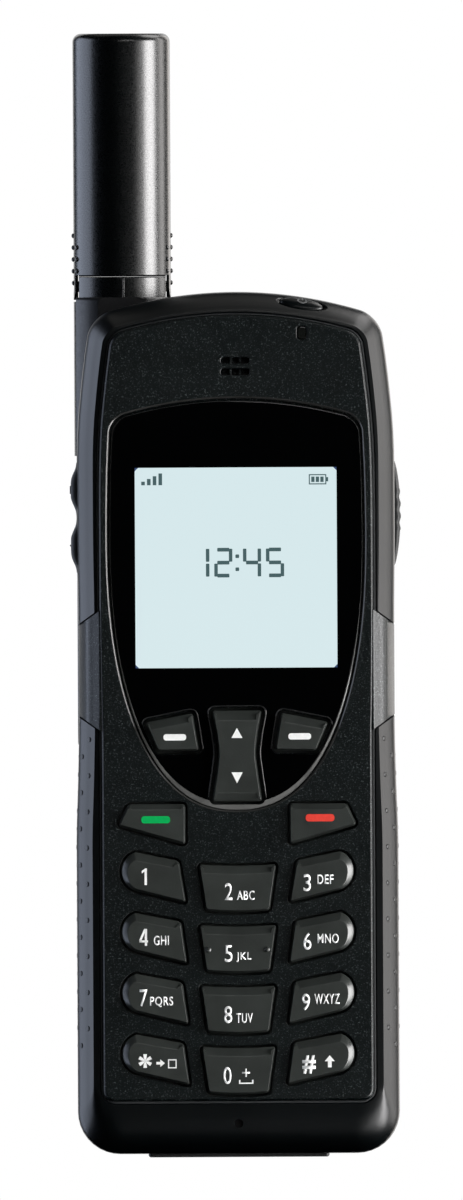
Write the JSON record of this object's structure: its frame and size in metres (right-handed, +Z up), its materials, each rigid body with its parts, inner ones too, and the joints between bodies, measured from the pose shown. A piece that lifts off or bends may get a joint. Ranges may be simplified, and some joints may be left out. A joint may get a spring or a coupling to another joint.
{
  "type": "satellite phone",
  "caption": "Upright handheld satellite phone with a thick cylindrical antenna that slides out and tilts, a screen, a full keypad, side controls and a covered battery.",
  "frame": {"origin": "centre of the base that the phone stands on", "axes": "front of the phone faces -Y, +X is to the right as seen from the front, +Z runs up along the antenna"},
  "size_m": [0.0546, 0.0299, 0.1858],
  "materials": {
    "panel": "fine sparkle texture",
    "grip": "satin soft-touch",
    "case": "fine spark-eroded satin",
    "keycap": "satin with printed legends",
    "lens": "gloss black window",
    "screen": "reflective liquid crystal",
    "rubber": "matt",
    "board": "solder resist",
    "tin": "tinned",
    "brass": "plated",
    "steel": "zinc plated",
    "cell": "shrink wrap",
    "card": "satin",
    "light_guide": "clear smoked",
    "former": "unglazed"
  },
  "bodies": {
    "housing": {"front_cover": "panel", "upper_bezel": "grip", "lower_bezel": "grip", "rear_cover": "case", "lens": "lens", "display_module": "screen", "keypad_mat": "rubber", "main_board": "board", "rf_shield": "tin", "baseband_shield": "tin", "earpiece": "rubber", "microphone": "steel", "light_pipe": "light_guide", "battery_cover": "case", "battery": "cell", "battery_contacts": "brass", "sim_holder": "tin", "sim_card": "card", "ringer_speaker": "rubber", "vibration_motor": "steel", "case_screw_1": "steel", "case_screw_2": "steel", "case_screw_3": "steel", "case_screw_4": "steel", "dock_bezel": "rubber", "dock_connector": "steel", "headset_jack": "brass", "data_port": "tin"},
    "mast": {"antenna_mast": "case", "hinge_pin": "steel"},
    "antenna": {"antenna_radome": "case", "element_former": "former", "antenna_helix": "brass"},
    "dock_door": {"dock_cover": "rubber"},
    "port_door": {"side_port_cover": "rubber"},
    "battery_catch": {"battery_latch": "rubber"},
    "power": {"power_button": "keycap"},
    "volume": {"volume_rocker": "rubber"},
    "nav": {"nav_key": "keycap"},
    "key_1_cap": {"key_1": "keycap"},
    "key_2_cap": {"key_2": "keycap"},
    "key_3_cap": {"key_3": "keycap"},
    "key_4_cap": {"key_4": "keycap"},
    "key_5_cap": {"key_5": "keycap"},
    "key_6_cap": {"key_6": "keycap"},
    "key_7_cap": {"key_7": "keycap"},
    "key_8_cap": {"key_8": "keycap"},
    "key_9_cap": {"key_9": "keycap"},
    "key_star_cap": {"key_star": "keycap"},
    "key_0_cap": {"key_0": "keycap"},
    "key_hash_cap": {"key_hash": "keycap"},
    "key_call_cap": {"key_call": "keycap"},
    "key_end_cap": {"key_end": "keycap"},
    "softkey_left_cap": {"softkey_left": "keycap"},
    "softkey_right_cap": {"softkey_right": "keycap"}
  },
  "joints": [
    {"name": "antenna_extend", "type": "slide", "parent": "housing", "child": "mast", "axis": [0, 0, -1], "range_m": [0, 0.0426]},
    {"name": "antenna_tilt", "type": "hinge", "parent": "mast", "child": "antenna", "pos_m": [-0.01855, 0.0056, 0.144], "axis": [1, 0, 0], "range_deg": [-45, 0]},
    {"name": "dock_cover_hinge", "type": "hinge", "parent": "housing", "child": "dock_door", "pos_m": [0, 0.0052, 0.00015], "axis": [1, 0, 0], "range_deg": [0, 110]},
    {"name": "side_port_cover_hinge", "type": "hinge", "parent": "housing", "child": "port_door", "pos_m": [0.0261, 0.0063, 0.10635], "axis": [0, 0, 1], "range_deg": [0, 90]},
    {"name": "battery_latch_slide", "type": "slide", "parent": "housing", "child": "battery_catch", "axis": [0, 0, 1], "range_m": [0, 0.0025], "stiffness_N_per_m": 600},
    {"name": "power_press", "type": "slide", "parent": "housing", "child": "power", "axis": [-0.1301, 0.6303, -0.7654], "range_m": [0, 0.0004], "stiffness_N_per_m": 3000},
    {"name": "volume_rock", "type": "hinge", "parent": "housing", "child": "volume", "pos_m": [-0.0244, -0.0062, 0.1058], "axis": [0, 1, 0], "range_deg": [-2, 2], "stiffness_Nm_per_rad": 0.5},
    {"name": "nav_rock", "type": "hinge", "parent": "housing", "child": "nav", "pos_m": [0, -0.0111, 0.0663], "axis": [1, 0, 0], "range_deg": [-3, 3], "stiffness_Nm_per_rad": 0.4},
    {"name": "key_1_press", "type": "slide", "parent": "housing", "child": "key_1_cap", "axis": [0, 1, 0], "range_m": [0, 0.0005], "stiffness_N_per_m": 3000},
    {"name": "key_2_press", "type": "slide", "parent": "housing", "child": "key_2_cap", "axis": [0, 1, 0], "range_m": [0, 0.0005], "stiffness_N_per_m": 3000},
    {"name": "key_3_press", "type": "slide", "parent": "housing", "child": "key_3_cap", "axis": [0, 1, 0], "range_m": [0, 0.0005], "stiffness_N_per_m": 3000},
    {"name": "key_4_press", "type": "slide", "parent": "housing", "child": "key_4_cap", "axis": [0, 1, 0], "range_m": [0, 0.0005], "stiffness_N_per_m": 3000},
    {"name": "key_5_press", "type": "slide", "parent": "housing", "child": "key_5_cap", "axis": [0, 1, 0], "range_m": [0, 0.0005], "stiffness_N_per_m": 3000},
    {"name": "key_6_press", "type": "slide", "parent": "housing", "child": "key_6_cap", "axis": [0, 1, 0], "range_m": [0, 0.0005], "stiffness_N_per_m": 3000},
    {"name": "key_7_press", "type": "slide", "parent": "housing", "child": "key_7_cap", "axis": [0, 1, 0], "range_m": [0, 0.0005], "stiffness_N_per_m": 3000},
    {"name": "key_8_press", "type": "slide", "parent": "housing", "child": "key_8_cap", "axis": [0, 1, 0], "range_m": [0, 0.0005], "stiffness_N_per_m": 3000},
    {"name": "key_9_press", "type": "slide", "parent": "housing", "child": "key_9_cap", "axis": [0, 1, 0], "range_m": [0, 0.0005], "stiffness_N_per_m": 3000},
    {"name": "key_star_press", "type": "slide", "parent": "housing", "child": "key_star_cap", "axis": [0, 1, 0], "range_m": [0, 0.0005], "stiffness_N_per_m": 3000},
    {"name": "key_0_press", "type": "slide", "parent": "housing", "child": "key_0_cap", "axis": [0, 1, 0], "range_m": [0, 0.0005], "stiffness_N_per_m": 3000},
    {"name": "key_hash_press", "type": "slide", "parent": "housing", "child": "key_hash_cap", "axis": [0, 1, 0], "range_m": [0, 0.0005], "stiffness_N_per_m": 3000},
    {"name": "key_call_press", "type": "slide", "parent": "housing", "child": "key_call_cap", "axis": [0, 1, 0], "range_m": [0, 0.0005], "stiffness_N_per_m": 3000},
    {"name": "key_end_press", "type": "slide", "parent": "housing", "child": "key_end_cap", "axis": [0, 1, 0], "range_m": [0, 0.0005], "stiffness_N_per_m": 3000},
    {"name": "softkey_left_press", "type": "slide", "parent": "housing", "child": "softkey_left_cap", "axis": [0, 1, 0], "range_m": [0, 0.0005], "stiffness_N_per_m": 3000},
    {"name": "softkey_right_press", "type": "slide", "parent": "housing", "child": "softkey_right_cap", "axis": [0, 1, 0], "range_m": [0, 0.0005], "stiffness_N_per_m": 3000}
  ]
}
